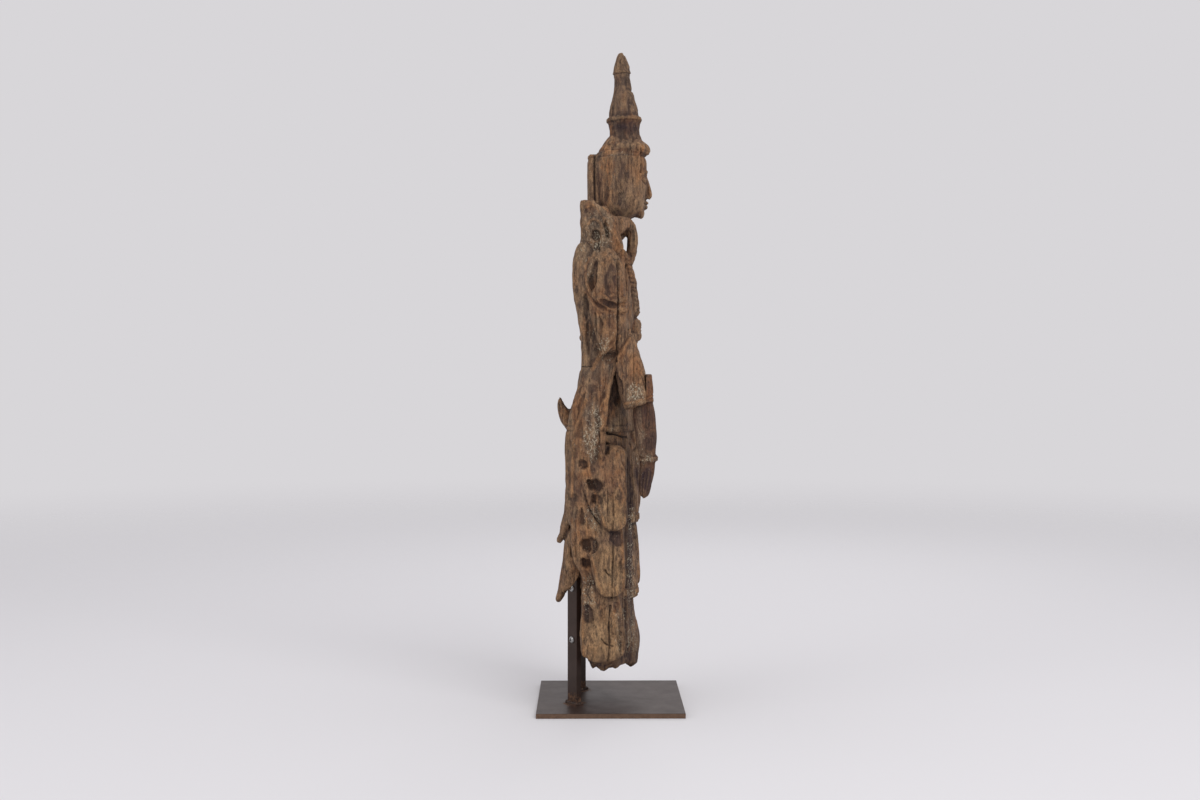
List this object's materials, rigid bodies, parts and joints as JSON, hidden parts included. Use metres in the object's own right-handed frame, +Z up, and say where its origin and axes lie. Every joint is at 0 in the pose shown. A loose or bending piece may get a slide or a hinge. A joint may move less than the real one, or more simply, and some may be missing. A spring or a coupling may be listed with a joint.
{
  "type": "weathered wooden court figure on a steel stand",
  "caption": "Tall weathered wooden court figure with a pointed crown, lowered arms and layered skirt, its back screwed to flat steel bars welded to a square base plate.",
  "frame": {"origin": "centre of the base plate's underside", "axes": "+Z up, the figure faces -Y, its left side is +X"},
  "size_m": [0.3188, 0.3, 1.362],
  "materials": {
    "weathered_teak": "weathered, dry and cracked",
    "mill_scale_steel": "hot rolled, dark mill scale",
    "rusted_weld": "rusted weld bead",
    "zinc_plated_steel": "bright zinc plating"
  },
  "bodies": {
    "root": {"carved_figure": "weathered_teak", "right_forearm": "weathered_teak", "left_forearm": "weathered_teak", "base_plate": "mill_scale_steel", "right_bar": "mill_scale_steel", "left_bar": "mill_scale_steel", "right_weld": "rusted_weld", "left_weld": "rusted_weld", "right_lower_screw": "zinc_plated_steel", "right_upper_screw": "zinc_plated_steel", "left_lower_screw": "zinc_plated_steel", "left_upper_screw": "zinc_plated_steel"}
  },
  "joints": []
}
